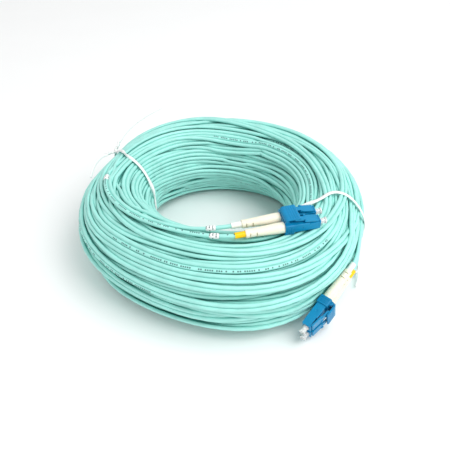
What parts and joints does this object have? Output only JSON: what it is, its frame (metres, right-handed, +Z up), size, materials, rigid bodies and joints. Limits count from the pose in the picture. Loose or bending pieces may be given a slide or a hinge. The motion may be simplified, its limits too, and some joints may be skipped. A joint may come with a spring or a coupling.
{
  "type": "fiber optic patch cord",
  "caption": "Coiled duplex fibre patch cord with a latched duplex plug, boots and dust caps at each end, held by twist ties.",
  "frame": {"origin": "middle of the whole object's footprint, on the surface that the coil lies on", "axes": "+Z up out of the coil; +X to the right and +Y to the back of the coil, with plug A on its crest at the front and plug B beside it at the front right"},
  "size_m": [0.1435, 0.145, 0.0526],
  "materials": {
    "housing_blue": "moulded satin blue plastic",
    "latch_blue": "moulded satin blue plastic",
    "clip_blue": "moulded satin blue plastic",
    "zirconia": "polished white ceramic",
    "flange_metal": "turned, nickel plated",
    "spring_steel": "drawn stainless wire",
    "body_metal": "turned and knurled",
    "aramid": "yellow aramid yarn",
    "crimp_metal": "crimped",
    "fiber_coating": "buffered fibre",
    "boot_ivory": "soft satin boot",
    "sleeve_white": "shrunk sleeve",
    "sleeve_yellow": "shrunk sleeve",
    "cap_clear": "translucent moulded cap",
    "jacket_aqua": "satin low-smoke jacket",
    "tie_white": "plastic coated twist tie",
    "label_white": "wrapped label"
  },
  "bodies": {
    "root": {"plug_housing_a1": "housing_blue", "plug_housing_a2": "housing_blue", "plug_housing_b1": "housing_blue", "plug_housing_b2": "housing_blue", "spring_a1": "spring_steel", "spring_a2": "spring_steel", "spring_b1": "spring_steel", "spring_b2": "spring_steel", "spring_body_a1": "body_metal", "spring_body_a2": "body_metal", "spring_body_b1": "body_metal", "spring_body_b2": "body_metal", "aramid_yarn_a1": "aramid", "aramid_yarn_a2": "aramid", "aramid_yarn_b1": "aramid", "aramid_yarn_b2": "aramid", "crimp_sleeve_a1": "crimp_metal", "crimp_sleeve_a2": "crimp_metal", "crimp_sleeve_b1": "crimp_metal", "crimp_sleeve_b2": "crimp_metal", "boot_a1": "boot_ivory", "boot_a2": "boot_ivory", "boot_b1": "boot_ivory", "boot_b2": "boot_ivory", "marker_sleeve_a1": "sleeve_white", "marker_sleeve_a2": "sleeve_yellow", "marker_sleeve_b1": "sleeve_white", "marker_sleeve_b2": "sleeve_yellow", "duplex_clip_a": "clip_blue", "duplex_clip_b": "clip_blue", "cable_coil": "jacket_aqua", "cable_leg_a1": "jacket_aqua", "cable_leg_a2": "jacket_aqua", "cable_leg_b1": "jacket_aqua", "cable_leg_b2": "jacket_aqua", "tie_left": "tie_white", "tie_right": "tie_white", "cable_labels": "label_white"},
    "trigger_a": {"trigger_a": "clip_blue"},
    "latch_a1": {"latch_lever_a1": "latch_blue"},
    "ferrule_a1": {"ferrule_a1": "zirconia", "ferrule_flange_a1": "flange_metal", "buffered_fiber_a1": "fiber_coating"},
    "dust_cap_a1": {"dust_cap_a1": "cap_clear"},
    "latch_a2": {"latch_lever_a2": "latch_blue"},
    "ferrule_a2": {"ferrule_a2": "zirconia", "ferrule_flange_a2": "flange_metal", "buffered_fiber_a2": "fiber_coating"},
    "dust_cap_a2": {"dust_cap_a2": "cap_clear"},
    "trigger_b": {"trigger_b": "clip_blue"},
    "latch_b1": {"latch_lever_b1": "latch_blue"},
    "ferrule_b1": {"ferrule_b1": "zirconia", "ferrule_flange_b1": "flange_metal", "buffered_fiber_b1": "fiber_coating"},
    "dust_cap_b1": {"dust_cap_b1": "cap_clear"},
    "latch_b2": {"latch_lever_b2": "latch_blue"},
    "ferrule_b2": {"ferrule_b2": "zirconia", "ferrule_flange_b2": "flange_metal", "buffered_fiber_b2": "fiber_coating"},
    "dust_cap_b2": {"dust_cap_b2": "cap_clear"}
  },
  "joints": [
    {"name": "trigger_press_a", "type": "hinge", "parent": "root", "child": "trigger_a", "pos_m": [0.02684, -0.03868, 0.05018], "axis": [-0.2574, 0.9606, 0.1045], "range_deg": [0, 10], "stiffness_Nm_per_rad": 0.09},
    {"name": "latch_press_a1", "type": "hinge", "parent": "root", "child": "latch_a1", "pos_m": [0.03991, -0.03183, 0.04936], "axis": [0.2574, -0.9606, -0.1045], "range_deg": [0, 6], "stiffness_Nm_per_rad": 0.03},
    {"name": "ferrule_push_a1", "type": "slide", "parent": "root", "child": "ferrule_a1", "axis": [-0.9659, -0.2588, 0], "range_m": [0, 0.001], "stiffness_N_per_m": 1250, "springref_m": -0.004, "deforming": ["spring_a1"]},
    {"name": "dust_cap_pull_a1", "type": "slide", "parent": "root", "child": "dust_cap_a1", "axis": [0.9659, 0.2588, 0], "range_m": [0, 0.0055]},
    {"name": "latch_press_a2", "type": "hinge", "parent": "root", "child": "latch_a2", "pos_m": [0.04152, -0.03784, 0.04871], "axis": [0.2574, -0.9606, -0.1045], "range_deg": [0, 6], "stiffness_Nm_per_rad": 0.03},
    {"name": "ferrule_push_a2", "type": "slide", "parent": "root", "child": "ferrule_a2", "axis": [-0.9659, -0.2588, 0], "range_m": [0, 0.001], "stiffness_N_per_m": 1250, "springref_m": -0.004, "deforming": ["spring_a2"]},
    {"name": "dust_cap_pull_a2", "type": "slide", "parent": "root", "child": "dust_cap_a2", "axis": [0.9659, 0.2588, 0], "range_m": [0, 0.0055]},
    {"name": "trigger_press_b", "type": "hinge", "parent": "root", "child": "trigger_b", "pos_m": [0.04977, -0.0588, 0.01241], "axis": [0.134, 0.2683, -0.954], "range_deg": [0, 10], "stiffness_Nm_per_rad": 0.09},
    {"name": "latch_press_b1", "type": "hinge", "parent": "root", "child": "latch_b1", "pos_m": [0.03961, -0.06947, 0.01126], "axis": [-0.134, -0.2683, 0.954], "range_deg": [0, 6], "stiffness_Nm_per_rad": 0.03},
    {"name": "ferrule_push_b1", "type": "slide", "parent": "root", "child": "ferrule_b1", "axis": [0.6147, 0.7326, 0.2924], "range_m": [0, 0.001], "stiffness_N_per_m": 1250, "springref_m": -0.004, "deforming": ["spring_b1"]},
    {"name": "dust_cap_pull_b1", "type": "slide", "parent": "root", "child": "dust_cap_b1", "axis": [-0.6147, -0.7326, -0.2924], "range_m": [0, 0.0055]},
    {"name": "latch_press_b2", "type": "hinge", "parent": "root", "child": "latch_b2", "pos_m": [0.04045, -0.0678, 0.00529], "axis": [-0.134, -0.2683, 0.954], "range_deg": [0, 6], "stiffness_Nm_per_rad": 0.03},
    {"name": "ferrule_push_b2", "type": "slide", "parent": "root", "child": "ferrule_b2", "axis": [0.6147, 0.7326, 0.2924], "range_m": [0, 0.001], "stiffness_N_per_m": 1250, "springref_m": -0.004, "deforming": ["spring_b2"]},
    {"name": "dust_cap_pull_b2", "type": "slide", "parent": "root", "child": "dust_cap_b2", "axis": [-0.6147, -0.7326, -0.2924], "range_m": [0, 0.0055]}
  ],
  "couplings": [
    {"joint": "latch_press_a1", "follows": "trigger_press_a", "ratio": 0.6},
    {"joint": "latch_press_a2", "follows": "trigger_press_a", "ratio": 0.6},
    {"joint": "latch_press_b1", "follows": "trigger_press_b", "ratio": 0.6},
    {"joint": "latch_press_b2", "follows": "trigger_press_b", "ratio": 0.6}
  ]
}
